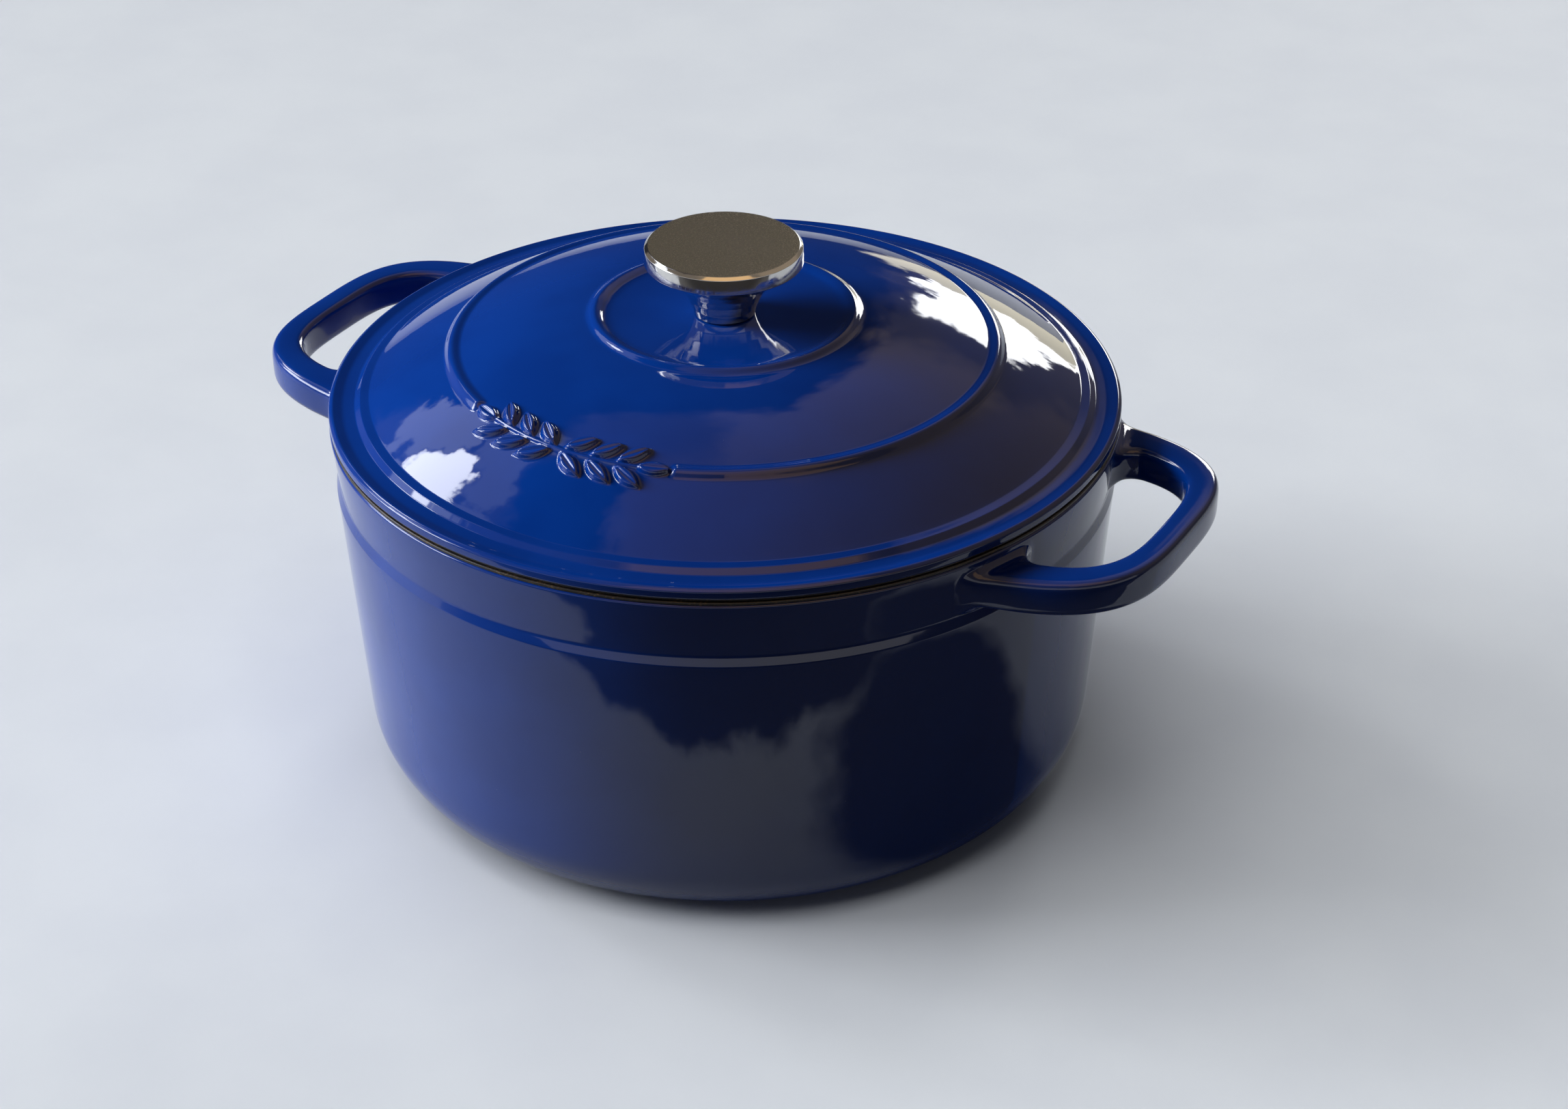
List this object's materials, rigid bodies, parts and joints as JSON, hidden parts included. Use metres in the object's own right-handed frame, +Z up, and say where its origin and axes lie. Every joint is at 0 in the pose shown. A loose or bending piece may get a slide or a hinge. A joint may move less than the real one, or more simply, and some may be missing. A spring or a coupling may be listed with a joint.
{
  "type": "cast iron dutch oven",
  "caption": "Round enamelled cast iron dutch oven with loop handles, a domed lid with raised rings, a leaf sprig and a steel knob.",
  "frame": {"origin": "on the surface the oven stands on, on the axis of the pot and lid", "axes": "+X along the two handles, +Z up, -Y towards the side of the lid that carries the leaf sprig"},
  "size_m": [0.349, 0.2738, 0.191],
  "materials": {
    "blue_enamelled_iron": "cast iron under glossy cobalt blue vitreous enamel",
    "cream_enamel": "glossy off-white vitreous enamel",
    "black_enamel": "matt black vitreous enamel",
    "brushed_stainless": "stainless steel, brushed top with a polished edge",
    "polished_stainless": "polished stainless steel"
  },
  "bodies": {
    "pot": {"pot_casting": "blue_enamelled_iron", "pot_interior_enamel": "cream_enamel", "pot_rim_enamel": "black_enamel"},
    "lid_fastening": {"lid_screw": "polished_stainless", "spring_washer": "polished_stainless", "flat_washer": "polished_stainless"},
    "lid": {"lid_casting": "blue_enamelled_iron", "lid_interior_enamel": "cream_enamel", "lid_rim_enamel": "black_enamel", "knob_disc": "brushed_stainless", "knob_stem": "polished_stainless"}
  },
  "joints": [
    {"name": "lid_lift", "type": "slide", "parent": "pot", "child": "lid_fastening", "axis": [0, 0, 1], "range_m": [0, 0.15]},
    {"name": "lid_turn", "type": "hinge", "parent": "lid_fastening", "child": "lid", "pos_m": [0, 0, 0.165], "axis": [0, 0, 1], "continuous": true}
  ]
}
